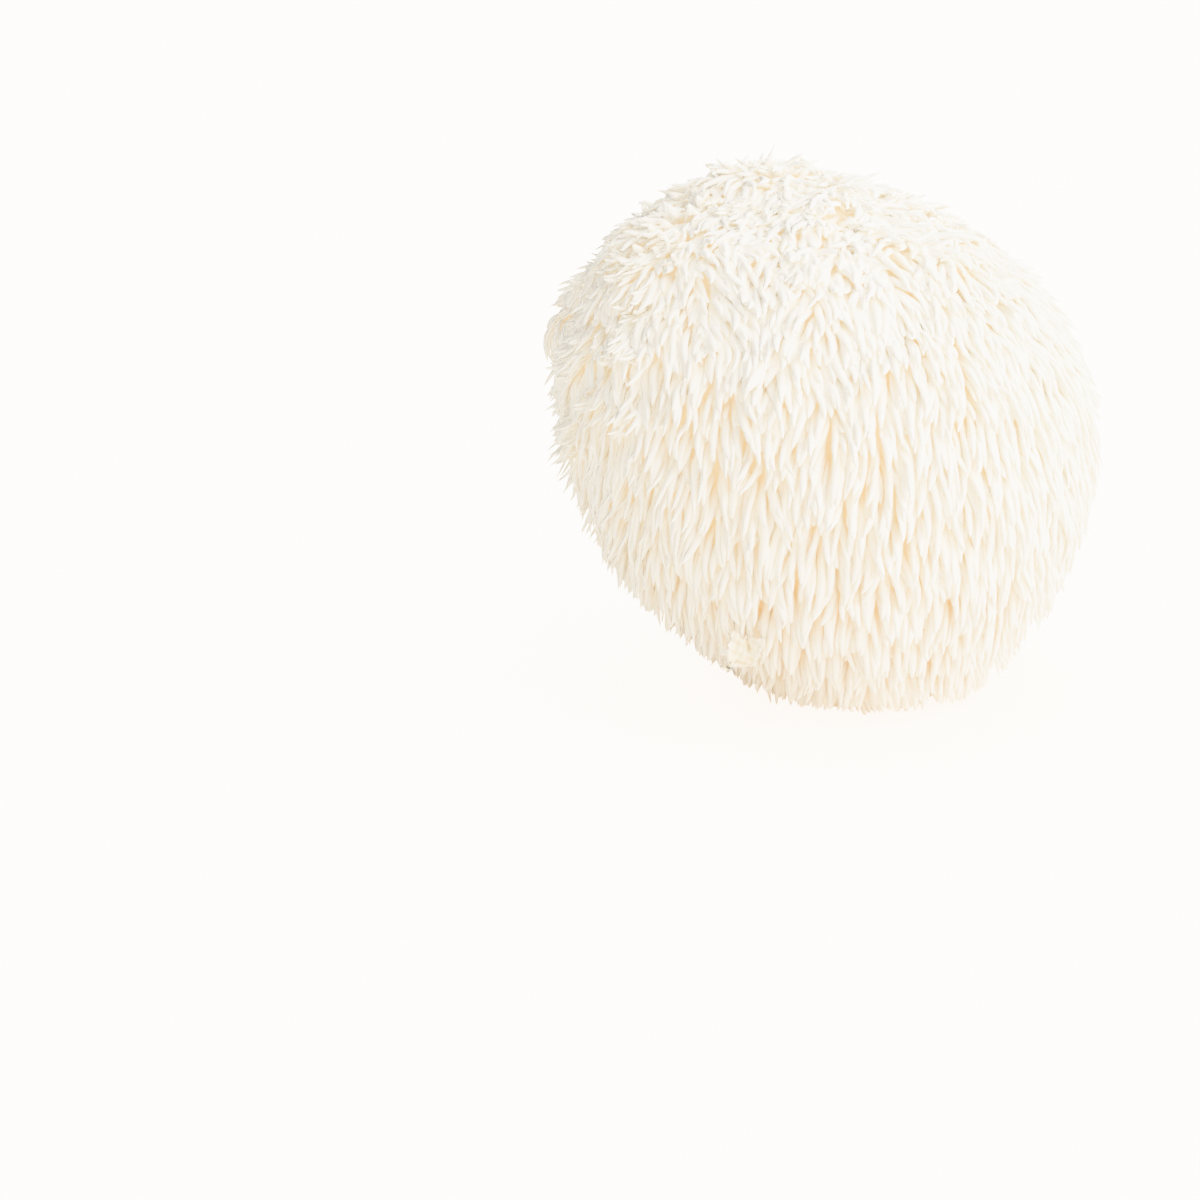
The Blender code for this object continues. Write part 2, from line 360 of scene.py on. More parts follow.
@dataclass(frozen=True)
class BallForm:
    """The form of the mushroom to the tips of its spines, in metres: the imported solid's, with finer lobes on it.

    Attributes:
        half_long: Half size along the axis that leans to the upper left.
        half_short: Half size across it, as seen from the front.
        half_deep: Half size from front to back.
        lean: How far the long axis leans from upright, in radians.
        centre_height: Height of the ball's middle above the cut.
        cut_radius: Radius of the flat cut.
        neck_flare: How far round the cut the neck widens to meet the ball.
        mane_depth: How far the tips stand off the flesh on the mane.
        crown_depth: The same on the crown, the shoulder and the sleek right.
        lobes: How many lobes would cover the whole ball.
        lobe_height: How far the lobes of the crown stand proud.
        lobe_seed: The seed that jitters the lobes.
    """

    half_long: float = 0.0710
    half_short: float = 0.0600
    half_deep: float = 0.0630
    lean: float = math.radians(45)
    centre_height: float = 0.0610
    cut_radius: float = 0.0210
    neck_flare: float = 0.0040
    mane_depth: float = 0.0085
    crown_depth: float = 0.0050
    lobes: int = 230
    lobe_height: float = 0.0052
    lobe_seed: int = 3

    # Broad swells and hollows: the way to the middle, the width in degrees and the height.
    SWELLS = (
        ((-0.62, -0.35, 0.70), 20, 0.0016),
        ((-0.16, -0.10, 0.98), 17, 0.0022),
        ((-0.40, -0.20, 0.88), 9, -0.0030),
        ((0.66, -0.20, 0.68), 26, 0.0020),
        ((0.78, -0.30, -0.58), 26, -0.0030),
        ((-0.55, 0.60, 0.50), 28, 0.0022),
        ((0.30, 0.90, 0.20), 24, -0.0022),
        ((0.25, 0.33, 0.91), 22, -0.0022),
        ((0.93, 0.10, 0.30), 38, 0.0017),
        ((-0.68, 0.25, 0.69), 14, -0.0012),
        ((-0.93, 0.13, 0.35), 8, 0.0034),
        ((-0.81, 0.20, 0.56), 5, -0.0022),
        ((-0.47, 0.30, 0.83), 9, -0.0024),
        ((0.17, 0.34, 0.93), 6, -0.0020),
        ((-0.08, 0.34, 0.94), 6, -0.0012),
    )
    # What the lobes are like: the range of their widths in degrees and of their heights, the least height that
    # counts, the way they hang, where along one it rises and where it ends, how fast it falls off to the sides,
    # how far their bed is sunk, and the least share of them anywhere.
    LOBE_WIDTHS = (9.0, 13.0)
    LOBE_HEIGHTS = (0.55, 1.0)
    LEAST_LOBE = 0.04
    LOBE_FALL = (0.0, -0.5, -1.0)
    LOBE_RISE = (-1.3, 0.45)
    LOBE_LIP = (0.95, 0.50)
    LOBE_NARROWING = 1.4
    LOBE_BED = 0.70
    LOBE_BASE = 0.22

    @property
    def centre(self) -> np.ndarray:
        """The ball's middle. The cut is centred on the origin, below the lowest point of the leaning ball."""
        half_height = math.sqrt((self.half_long**2 + self.half_short**2) / 2)
        offset = (self.half_long**2 - self.half_short**2) / (2 * half_height)
        return np.array((-offset, 0.0, self.centre_height))

    def radius(self, directions: np.ndarray, inset: np.ndarray | float = 0.0) -> np.ndarray:
        """Distance from the centre to the leaning ball.

        Args:
            directions: Unit vectors, one a row.
            inset: How much smaller each half size is, in metres.

        Returns:
            One distance for each direction.
        """
        long_axis = np.array((-math.sin(self.lean), 0, math.cos(self.lean)))
        short_axis = np.array((math.cos(self.lean), 0, math.sin(self.lean)))
        share = (directions @ long_axis / (self.half_long - inset)) ** 2
        share += (directions @ short_axis / (self.half_short - inset)) ** 2
        share += (directions[:, 1] / (self.half_deep - inset)) ** 2
        radius = 1 / np.sqrt(share)
        for place, degrees, height in self.SWELLS:
            radius += height * hump(directions, place, degrees)
        return radius + self.lobe_relief(directions)

    def lobe_relief(self, directions: np.ndarray) -> np.ndarray:
        """The lobes of the crown and the upper left, which lie over each other like tiles and end in a lip below.

        Args:
            directions: Unit vectors, one a row.

        Returns:
            How much further out than the smooth ball each place lies.
        """
        chance = np.random.default_rng(self.lobe_seed)
        relief = np.zeros(len(directions))
        for index in range(self.lobes):
            z = 1 - (2 * index + 1) / self.lobes
            turn = index * math.pi * (3 - math.sqrt(5)) + chance.uniform(-0.25, 0.25)
            place = np.array((math.sqrt(1 - z * z) * math.cos(turn), math.sqrt(1 - z * z) * math.sin(turn), z))
            width = math.radians(chance.uniform(*self.LOBE_WIDTHS))
            proud = chance.uniform(*self.LOBE_HEIGHTS) * self.lobe_share(place[None, :])[0]
            if proud < self.LEAST_LOBE:
                continue
            fall = np.array(self.LOBE_FALL) - place * (place @ self.LOBE_FALL)
            fall /= np.linalg.norm(fall)
            along = directions @ fall / width
            across = directions @ np.cross(place, fall) / width
            lobe = smooth_step(*self.LOBE_RISE, along) * smooth_step(*self.LOBE_LIP, along)
            lobe *= np.exp(-self.LOBE_NARROWING * across * across)
            lobe[directions @ place < 0.5] = 0.0
            relief = np.maximum(relief, self.lobe_height * proud * lobe)
        return relief - self.LOBE_BED * self.lobe_height * self.lobe_share(directions)

    def lobe_share(self, directions: np.ndarray) -> np.ndarray:
        """Where the lobes stand out, from 0 to 1: most on the upper left and the crown."""
        crown = 0.85 * Patch.TUFTED_CROWN.share(directions)
        return np.maximum(np.maximum(Patch.TUFTED_LEFT.share(directions), crown), self.LOBE_BASE)

    def depth(self, directions: np.ndarray) -> np.ndarray:
        """How far the tips stand off the flesh: less on the crown, the shoulder and the sleek right than on the mane.

        Args:
            directions: Unit vectors, one a row.

        Returns:
            One depth for each direction.
        """
        flat = smooth_step(0.45, 0.90, directions[:, 2])
        for short in (Patch.SHORT_RIGHT, Patch.SHORT_LEFT):
            flat = np.maximum(flat, short.share(directions))
        return self.mane_depth + (self.crown_depth - self.mane_depth) * flat

    def flesh(self, directions: np.ndarray) -> np.ndarray:
        """Points of the flesh: on the ball, or on the neck down to the cut.

        Args:
            directions: Unit vectors from the centre, one a row.

        Returns:
            One point for each direction.
        """
        radius = self.radius(directions, self.depth(directions))
        on_ball = self.centre + directions * radius[:, None]
        falls = np.minimum(directions[:, 2:], -1e-6)
        on_ground = self.centre + directions * (-self.centre[2] / falls)
        away = np.linalg.norm(on_ground[:, :2], axis=1)
        near_cut = smooth_step(self.cut_radius + self.neck_flare, self.cut_radius, away)
        near_cut[directions[:, 2] >= 0] = 0.0
        return on_ball + (on_ground - on_ball) * near_cut[:, None]


class Grain:
    """What every finish of the fungus shares, as one node group: its mottle and fibre, and where light and shade are
    painted.
    """

    NAME = "fungus_grain"
    OUTPUTS = ("Mottle", "Fibre", "Painted Pale", "Low", "Foot")
    # In metres: where the crown and the right side, painted paler as lit, begin and end; the low part, where shade is
    # painted; and the foot, where more glow is painted. The crown's height counts less by this share of the distance to
    # the right.
    CROWN_HEIGHTS = (0.088, 0.122)
    CROWN_TILT = 0.45
    RIGHT = (0.010, 0.042)
    LOW_HEIGHTS = (0.056, 0.018)
    FOOT_HEIGHTS = (0.014, 0.001)

    @classmethod
    def group(cls) -> bpy.types.NodeTree:
        """The group, built at its first use.

        Returns:
            Its tree.
        """
        if cls.NAME in bpy.data.node_groups:
            return bpy.data.node_groups[cls.NAME]
        graph = Graph(bpy.data.node_groups.new(cls.NAME, "ShaderNodeTree"))
        graph.add_sockets("INPUT", {"Place": "Vector", "Fibre Way": "Vector", "Mottle Scale": "Float"})
        graph.add_sockets("OUTPUT", dict.fromkeys(cls.OUTPUTS, "Float"))
        given = graph.given()
        mottle = graph.noise(given["Place"], given["Mottle Scale"], detail=4.0, roughness=0.6)
        fibre = graph.noise(given["Fibre Way"], 1.0, detail=2.0)
        x, _, z = given["Place"].parts()
        crown = (z - x * cls.CROWN_TILT).ease(*cls.CROWN_HEIGHTS)
        # Painted light: the crown and the right side, which faces the key light, are painted paler.
        painted_pale = (crown * 0.60).at_least(x.ease(*cls.RIGHT))
        results = (mottle, fibre, painted_pale, z.ease(*cls.LOW_HEIGHTS), z.ease(*cls.FOOT_HEIGHTS))
        graph.node("NodeGroupOutput", dict(zip(cls.OUTPUTS, results)))
        return graph.tree

    @classmethod
    def place(cls, graph: Graph, fibre_way: Wire, mottle_scale: float) -> list[Wire]:
        """Places the group in a material.

        Args:
            graph: The material's graph.
            fibre_way: The vector that the fibres are stretched along.
            mottle_scale: How fine the mottle is, per metre.

        Returns:
            The mottle, the fibre, how far it is painted paler as lit, how low it lies and how near the foot, each from
            0 to 1.
        """
        place = graph.out("ShaderNodeTexCoord", output="Object")
        inputs = {"Place": place, "Fibre Way": fibre_way, "Mottle Scale": mottle_scale}
        node = graph.node("ShaderNodeGroup", inputs, node_tree=cls.group())
        return [Wire(graph, socket) for socket in node.outputs]


@dataclass(frozen=True)
class Finish:
    """What the fungus's finishes have in common. All colours are linear.

    Attributes:
        mottle_scale: How fine the mottle is, per metre.
        fibre_way: How the fibres stretch along X, Y and Z.
        roughness: The middle roughness, how much less it may be and how much more.
        relief: The strength of its fine relief and its height.
        glow: How strong its painted glow is: emission, though it is no lamp, that lifts the shade in its gaps.
    """

    mottle_scale: float = 260.0
    fibre_way: Triple = (900.0, 900.0, 260.0)
    roughness: Triple = (0.70, 0.08, 0.15)
    relief: tuple[float, float] = (0.6, 0.4 * MM)
    glow: float = 0.12

    def material(self, name: str) -> bpy.types.Material:
        """Builds the material.

        Args:
            name: The material's name.

        Returns:
            The new material.
        """
        material = bpy.data.materials.new(name)
        material.use_nodes = True
        graph = Graph(material.node_tree)
        colour, painted_glow_colour, mottle, height = self.paint(graph)
        middle, less, more = self.roughness
        strength, distance = self.relief
        bump = graph.out("ShaderNodeBump", {"Strength": strength, "Distance": distance, "Height": height})
        inputs = {
            "Base Color": colour,
            "Roughness": mottle.ramp(middle - less, middle + more, 0.3, 0.7),
            "Normal": bump,
            # Painted glow: emission that stands in for light passed through the fungus and lifts its shade; it is no
            # lamp.
            "Emission Color": painted_glow_colour,
            "Emission Strength": self.glow,
        }
        graph.fill(graph.tree.nodes["Principled BSDF"], inputs)
        return material

    def paint(self, graph: Graph) -> tuple[Wire, Wire, Wire, Wire]:
        """The finish's own nodes.

        Args:
            graph: The material's graph.

        Returns:
            Its colour, the colour of its painted glow, its mottle, and the height of its relief.
        """
        raise NotImplementedError


@dataclass(frozen=True)
class SpineFinish(Finish):
    """The matte, faintly waxy skin of the spines, with a painted glow, whose colour follows each spine's strand map.

    Attributes:
        root: The colour where a spine leaves the flesh: the flesh's warmer tone, darkened as painted shade of the deep
            gaps.
        shade: The colour a third of the way along it, partly painted shade between the spines.
        shaft: The colour of its outer part, of a pale spine, and where light is painted paler.
        tip: The colour of its tip.
        low_root: The colour of the roots low on the ball, warmer and darker, as painted shade.
        warm: The colour of a warm spine, by chance, and of painted shade at the lower front.
        marks: The colour of the mottle's and the fibre's marks.
        passes: Its painted glow from its root to its tip, strongest at the root to lift the shade of the gaps.
        painted_glow_pale: The same where light is painted paler.
        passes_low: The same low on the ball, dimmer and warmer, as painted shade.
        passes_foot: The same at the foot, where it lifts the shade near the ground.
    """

    mottle_scale: float = 420.0
    fibre_way: Triple = (70.0, 1.6, 1.0)
    roughness: Triple = (0.55, 0.10, 0.12)
    relief: tuple[float, float] = (0.25, 0.15 * MM)
    glow: float = 0.105
    root: Triple = (0.970, 0.910, 0.800)
    shade: Triple = (0.978, 0.958, 0.920)
    shaft: Triple = (0.98, 0.972, 0.954)
    tip: Triple = (0.98, 0.975, 0.962)
    low_root: Triple = (0.910, 0.765, 0.530)
    warm: Triple = (0.975, 0.935, 0.86)
    marks: Triple = (0.955, 0.905, 0.81)
    passes: tuple[tuple[float, Triple], ...] = (
        (0.0, (1.0, 0.84, 0.58)),
        (0.35, (0.60, 0.53, 0.40)),
        (0.75, (0.46, 0.38, 0.26)),
        (1.0, (0.22, 0.18, 0.12)),
    )
    painted_glow_pale: Triple = (0.52, 0.49, 0.44)
    passes_low: Triple = (0.62, 0.46, 0.26)
    passes_foot: Triple = (1.0, 0.80, 0.55)

    def paint(self, graph: Graph) -> tuple[Wire, Wire, Wire, Wire]:
        """The finish's own nodes.

        Args:
            graph: The material's graph.

        Returns:
            Its colour, the colour of its painted glow, its mottle, and the height of its relief.
        """
        strand = graph.out("ShaderNodeUVMap", uv_map=STRAND_MAP)
        tint, along, _ = strand.parts()
        mottle, fibre, painted_pale, low, foot = Grain.place(graph, strand * self.fibre_way, self.mottle_scale)
        mark = mottle * 0.6 + fibre * 0.4
        # Painted shade: the roots low on the ball are painted warmer and darker.
        painted_low_shade = low * along.ramp(0.90, 0.0, high=0.60)
        # Warmer and darker towards the root: partly the flesh's own tone, partly painted shade of the gaps between the
        # spines.
        stops = ((0.0, self.root), (0.35, self.shade), (0.7, self.shaft), (1.0, self.tip))
        colour = graph.glaze(
            graph.spectrum(along, *stops),
            # Painted light: paler on the crown and the lit right side.
            (painted_pale * 0.80, self.shaft),
            (painted_low_shade, self.low_root),
            # The tint: random tone, plus painted shade at the lower front and painted light on the right and the crown.
            (tint.ramp(0.25, 0.0, high=0.6), self.warm),
            (tint.ramp(0.0, 0.75, low=0.6), self.shaft),
            (mark.ramp(0.0, 0.40, 0.50, 0.72), self.marks),
        )
        # Painted glow: strongest at the roots to lift the shade deep in the gaps, and at the foot to lift the shade
        # near the ground.
        painted_glow_colour = graph.glaze(
            graph.spectrum(along, *self.passes),
            (painted_pale * 0.75, self.painted_glow_pale),
            (painted_low_shade * 0.7, self.passes_low),
            (foot * along.ramp(0.75, 0.50, high=0.9), self.passes_foot),
        )
        return colour, painted_glow_colour, mottle, fibre + mottle * 0.5


@dataclass(frozen=True)
class FleshFinish(Finish):
    """The warm, finely pitted flesh: in the gaps between the spines, on the cut and in the torn flake.

    Attributes:
        pale: The colour of most of it.
        deep: The colour of its darker mottle.
        dried: The paler colour painted where light falls, on the crown and the right side.
        painted_shade_low: The warmer, darker colour painted as shade low on the ball, or None.
        rim: The colour that the cut browns to at its rim, or None.
        folds: The colour of painted shade in the folds of a crumpled sheet whose mesh stores its rim and its folds, or
            None.
        painted_rim_highlight: The colour of a painted highlight at the rim of such a sheet.
        passes: Its painted glow, which lifts the shade of the gaps.
        painted_glow_pale: The same where light is painted paler.
        passes_low: The same low on the ball, dimmer and warmer, as painted shade.
    """

    pale: Triple = (0.97, 0.915, 0.80)
    deep: Triple = (0.95, 0.855, 0.69)
    dried: Triple = (0.975, 0.95, 0.90)
    painted_shade_low: Triple | None = (0.92, 0.79, 0.58)
    rim: Triple | None = None
    folds: Triple | None = None
    painted_rim_highlight: Triple = (0.985, 0.98, 0.965)
    passes: Triple = (1.0, 0.84, 0.60)
    painted_glow_pale: Triple = (0.80, 0.74, 0.64)
    passes_low: Triple = (0.72, 0.54, 0.33)

    # How far from its middle the cut browns, and how far the mottle shifts that, in metres.
    BROWNING = (0.0165, 0.0212)
    BROWNING_SHIFT = 6.0 * MM

    def paint(self, graph: Graph) -> tuple[Wire, Wire, Wire, Wire]:
        """The finish's own nodes.

        Args:
            graph: The material's graph.

        Returns:
            Its colour, the colour of its painted glow, its mottle, and the height of its relief.
        """
        place = graph.out("ShaderNodeTexCoord", output="Object")
        mottle, fibre, painted_pale, low, _ = Grain.place(graph, place * self.fibre_way, self.mottle_scale)
        mark = mottle * 0.6 + fibre * 0.4
        # Painted light: paler on the crown and the lit right side.
        coats = [(painted_pale * 0.65, self.dried)]
        if self.painted_shade_low:
            # Painted shade: warmer and darker low on the ball.
            coats.append((low * 0.6, self.painted_shade_low))
        if self.rim:
            x, y, _ = place.parts()
            edge = graph.join(x, y).through("LENGTH") + (mottle - 0.5) * self.BROWNING_SHIFT
            coats.append((edge.ease(*self.BROWNING), self.rim))
        # Painted shade in the flake's folds and a painted highlight along its rim.
        if self.folds:
            rim, fold = (graph.out("ShaderNodeAttribute", output="Fac", attribute_name=name) for name in Flake.MARKS)
            coats += [(fold * 0.45, self.folds), (rim, self.painted_rim_highlight)]
        colour = graph.glaze(graph.spectrum(mark, (0.36, self.deep), (0.62, self.pale)), *coats)
        # Painted glow, which lifts the shade of the flesh in the gaps.
        painted_glow_colour = graph.glaze(self.passes, (painted_pale * 0.8, self.painted_glow_pale), (low * 0.5, self.passes_low))
        return colour, painted_glow_colour, mottle, mark


CUT_FINISH = FleshFinish(
    mottle_scale=180.0,
    fibre_way=(500.0, 160.0, 500.0),
    glow=0.02,
    pale=(0.93, 0.87, 0.74),
    deep=(0.83, 0.72, 0.54),
    rim=(0.62, 0.46, 0.28),
)
FLAKE_FINISH = FleshFinish(
    mottle_scale=420.0,
    fibre_way=(500.0, 500.0, 200.0),
    roughness=(0.45, 0.08, 0.15),
    glow=0.03,
    pale=(0.98, 0.965, 0.92),
    deep=(0.962, 0.905, 0.80),
    painted_shade_low=None,
    folds=(0.90, 0.77, 0.56),
)


@dataclass
class Flake:
    """The torn, crumpled flake of pale skin that hangs from the fringe at the lower left.

    Attributes:
        form: The ball that it hangs from.
        place: The direction of its middle from the ball's centre.
        facing: The way that it faces, steeper than the ball under it.
        thickness: How thick it is, in metres.
        lift: How far its middle stands off the tips of the spines.
        rings: How many rings of faces it has.
        around: How many faces go round it.
    """

    form: BallForm
    place: Triple = (-0.322, -0.735, -0.588)
    facing: Triple = (-0.14, -0.93, -0.26)
    thickness: float = 0.00035
    lift: float = 0.0026
    rings: int = 14
    around: int = 96

    # Where the painted highlight of the rim and the painted shade of the folds lie.
    MARKS = ("rim", "fold")
    # How far the torn rim reaches at each turn, in degrees and millimetres.
    RIM = (
        (20, 4.6), (33, 6.2), (46, 7.4), (58, 5.2), (74, 3.7), (95, 4.2), (112, 6.3), (130, 4.0), (160, 3.6),
        (180, 5.6), (198, 3.9), (219, 4.2), (227, 7.6), (233, 7.2), (241, 4.4), (262, 4.3), (297, 4.9), (325, 3.5),
        (346, 3.5),
    )
    # The small teeth of the rim: how many go round, how high in millimetres, and where they start.
    TEETH = ((11, 0.22, 0.8), (19, 0.20, 0.0), (37, 0.15, 0.4))

    def build(self, material: bpy.types.Material) -> bpy.types.Object:
        """Makes the flake as one closed sheet.

        Args:
            material: Its finish.

        Returns:
            The flake's object.
        """
        bm = bmesh.new()
        for name in self.MARKS:
            bm.verts.layers.float.new(name)
        faces = []
        outer_loops = []
        for skin in (0.5, -0.5):
            middle, *loops = self.lay_skin(bm, skin)
            outer_loops.append(loops[-1])
            for step in range(self.around):
                after = (step + 1) % self.around
                faces.append(bm.faces.new((middle[0], loops[0][step], loops[0][after])))
                for low, high in zip(loops, loops[1:]):
                    faces.append(bm.faces.new((low[step], high[step], high[after], low[after])))
        front, back = outer_loops
        faces += [bm.faces.new((front[k], back[k], back[k - 1], front[k - 1])) for k in range(self.around)]
        bmesh.ops.recalc_face_normals(bm, faces=faces)
        for face in faces:
            face.smooth = True
        mesh = finish_mesh("torn_flake", bm)
        mesh.materials.append(material)
        return add_object("torn_flake", mesh)

    def lay_skin(self, bm: bmesh.types.BMesh, skin: float) -> list[list[bmesh.types.BMVert]]:
        """Adds the vertices of one side of the sheet.

        Args:
            bm: The flake's mesh.
            skin: Which side it is: half the thickness out or in.

        Returns:
            The middle vertex, and each ring of vertices from it to the rim.
        """
        rim, fold = (bm.verts.layers.float[name] for name in self.MARKS)
        away = np.array(self.place) / np.linalg.norm(self.place)
        centre = self.form.centre + away * (self.form.radius(away[None, :])[0] + self.lift)
        out = np.array(self.facing) / np.linalg.norm(self.facing)
        side = np.cross((0.0, 0.0, 1.0), out)
        side /= np.linalg.norm(side)
        upward = np.cross(out, side)
        loops = [[bm.verts.new(centre + out * (self.crease(0.0, 0.0) + skin * self.thickness))]]
        for ring in range(1, self.rings + 1):
            share = ring / self.rings
            loop = []
            for step in range(self.around):
                turn = 2 * math.pi * step / self.around
                reach = self.tear(turn) * ring / self.rings
                x, y = reach * math.cos(turn), reach * math.sin(turn)
                thin = skin * self.thickness * (1.0 - 0.75 * share**4)
                loop.append(bm.verts.new(centre + side * x + upward * y + out * (self.crease(x, y) + thin)))
                # Stores where the rim's painted highlight and the folds' painted shade go.
                loop[-1][rim] = share**9
                loop[-1][fold] = float(np.clip(-0.75 * self.crease(x, y) / MM - 0.05, 0.0, 1.0))
            loops.append(loop)
        return loops

    def tear(self, turn: float) -> float:
        """How far the torn rim reaches at a turn, in metres: lobes, spikes and small teeth."""
        reach = np.interp(math.degrees(turn), *zip(*self.RIM), period=360)
        return MM * (reach + sum(height * math.sin(count * turn + start) for count, height, start in self.TEETH))

    @staticmethod
    def crease(x: float, y: float) -> float:
        """How far a place of the crumpled sheet stands out: a rolled left rim, a fold, a raised lobe and wrinkles.

        Args:
            x: Its distance to the right of the middle.
            y: Its distance above the middle.

        Returns:
            The distance from the flat sheet.
        """
        u, v = x / MM, y / MM
        rolled = 1.3 * math.exp(-(((u + 3.0 + 0.15 * v) / 0.7) ** 2))
        fold = -1.5 * math.exp(-(((u - 1.7 + 0.20 * v) / 0.45) ** 2)) * min(1.0, max(0.2, 0.6 + 0.2 * v))
        lobe = 0.55 * max(0.0, u - 2.0) - 0.28 * max(0.0, -v - 0.5)
        wrinkles = 0.30 * math.sin(2.3 * v + 1.1 * u) + 0.20 * math.sin(3.9 * u - 1.3 * v)
        wrinkles += 0.10 * math.sin(6.1 * v + 3.0 * u)
        return MM * (rolled + fold + lobe + wrinkles - 0.15 * max(0.0, v))


@dataclass
class Flesh:
    """The ball of flesh, with its neck and the flat cut, and what its surface tells the spines.

    Attributes:
        form: The ball's sizes.
        around: How many faces go round the ball.
        rings: How many rings of faces lie between the cut's rim and the crown.
        cut_rings: How many rings of faces the cut has.
        bare_neck: The height below which no spine grows.
        span: How long a spine is.
    """

    form: BallForm
    around: int = 200
    rings: int = 100
    cut_rings: int = 10
    bare_neck: float = 0.0040
    span: float = 0.0150

    REGIONS = ("depth", "span", "crown", "fill", "tousle", "curl", "cover", "warmth", "sector")

    def build(self) -> bpy.types.Object:
        """Makes the flesh as one closed piece, with its region values stored on it.

        Returns:
            The flesh's object.
        """
        bm = bmesh.new()
        cut_centre = bm.verts.new((0.0, 0.0, 0.0))
        loops = [[bm.verts.new(point) for point in points] for points in self.ring_points()]
        crown = bm.verts.new(self.form.flesh(self.crown_axis()[None, :])[0])
        for index in range(self.around):
            after = (index + 1) % self.around
            bm.faces.new((cut_centre, loops[0][after], loops[0][index]))
            bm.faces.new((crown, loops[-1][index], loops[-1][after]))
            for low, high in zip(loops, loops[1:]):
                bm.faces.new((low[index], low[after], high[after], high[index]))
        bmesh.ops.recalc_face_normals(bm, faces=bm.faces[:])
        for face in bm.faces:
            face.smooth = True
            face.material_index = int(max(vert.co.z for vert in face.verts) < 1e-6)
        mesh = finish_mesh("flesh", bm)
        self.store_regions(mesh)
        return add_object("flesh", mesh)

    def crown_axis(self) -> np.ndarray:
        """The unit direction from the middle of the cut to the ball's centre, and on to the crown."""
        return self.form.centre / np.linalg.norm(self.form.centre)

    def ring_points(self) -> list[np.ndarray]:
        """The points of each ring of the net, from the middle of the cut out to its rim and up to the crown.

        Returns:
            One array of points for each ring.
        """
        turns = np.linspace(0, 2 * math.pi, self.around, endpoint=False)
        circle = np.stack((np.cos(turns), np.sin(turns), np.zeros_like(turns)), axis=1)
        rings = [circle * self.form.cut_radius * (k + 1) / self.cut_rings for k in range(self.cut_rings)]
        rim = unit_rows(circle * self.form.cut_radius - self.form.centre)
        top = self.crown_axis()
        reach = np.arccos(np.clip(rim @ top, -1, 1))[:, None]
        for step in range(1, self.rings):
            share = (step / self.rings) ** 1.15
            directions = unit_rows(np.sin((1 - share) * reach) * rim + np.sin(share * reach) * top)
            rings.append(self.form.flesh(directions))
        return rings

    def store_regions(self, mesh: bpy.types.Mesh) -> None:
        """Stores on the flesh how its spines grow in each place.

        Args:
            mesh: The flesh's mesh, which gets the regions on its vertices, and the number of its sector on each face.
        """
        places = np.array([vert.co for vert in mesh.vertices])
        directions = unit_rows(places - self.form.centre)
        height = directions[:, 2]
        crown = smooth_step(0.62, 0.92, height)
        left = Patch.SHORT_LEFT.share(directions)
        upper = np.maximum(smooth_step(0.30, 0.75, height), left)
        tousle = 0.30 + 0.9 * crown + 0.8 * Patch.TOUSLED.share(directions) - 0.5 * Patch.SLEEK.share(directions)
        warm, pale = 0.5 * Patch.WARM_FRONT.share(directions), 1.0 * Patch.PALE_RIGHT.share(directions)
        values = (
            self.form.depth(directions),
            self.span - 0.0010 * crown - 0.0020 * left,
            upper,
            0.62 + 0.38 * upper - 0.36 * Patch.THIN_FRONT.share(directions),
            np.clip(tousle, 0.08, 1.4),
            np.maximum(Patch.CURLED_LEFT.share(directions), 0.6 * Patch.CURLED_CROWN.share(directions)),
            smooth_step(self.bare_neck, self.bare_neck + 0.002, places[:, 2]),
            # Painted warmth: painted shade at the lower front, less painted light on the right and the crown.
            warm - pale - 0.4 * crown,
        )
        for name, value in zip(self.REGIONS, values):
            mesh.attributes.new(name, "FLOAT", "POINT").data.foreach_set("value", value.astype(np.float32))
        middles = unit_rows(np.array([face.center for face in mesh.polygons]) - self.form.centre)
        numbers = np.array([self.sector_of(middle).number for middle in middles], np.int32)
        mesh.attributes.new(self.REGIONS[-1], "INT", "FACE").data.foreach_set("value", numbers)

    @staticmethod
    def sector_of(direction: np.ndarray) -> Sector:
        """Finds the sector of a place.

        Args:
            direction: The way to it from the ball's centre.

        Returns:
            The sector that it lies in.
        """
        x, y, z = direction
        if z > 0.80:
            return Sector.CROWN
        if z < -0.62:
            return Sector.UNDERSIDE
        if y < 0:
            return Sector.FRONT_LEFT if x < 0 else Sector.FRONT_RIGHT
        return Sector.BACK_LEFT if x < 0 else Sector.BACK_RIGHT


@dataclass(frozen=True)
class SpineForm:
    """Sizes that every sector's spines share, in metres. Each is an input of the tree, under its own name.

    Attributes:
        coat_spacing: Least distance between the roots of two full spines.
        undercoat_spacing: Least distance between the roots of two short spines, which fill the gaps.
        lock_spacing: Least distance between the middles of two locks.
        half_width: Half the width of a spine where it is thickest.
        flatness: Its thickness over its width.
        steps: How many straight steps a spine bends over.
        sides: How many sides its section has.
        wave: How far it swings to either side of its way, as a slope.
        drift: How far whole neighbourhoods sweep aside together, as a slope.
        gather: How far the spines of a lock close up on its middle, from 0 to 1.
        level: How far the tips of a lock end at one height, from 0 to 1.
        clump: How much deeper or shallower whole clumps stand than their neighbours, as a share.
        seed: The seed of everything random.
    """

    coat_spacing: float = 0.00235
    undercoat_spacing: float = 0.00156
    lock_spacing: float = 0.0068
    half_width: float = 0.00097
    flatness: float = 0.52
    steps: int = 7
    sides: int = 5
    wave: float = 0.18
    drift: float = 0.40
    gather: float = 0.42
    level: float = 0.84
    clump: float = 0.20
    seed: int = 11

    def inputs(self) -> dict[str, float | int]:
        """Each size under the name of its input, such as Coat Spacing."""
        return {field.name.replace("_", " ").title(): getattr(self, field.name) for field in fields(self)}


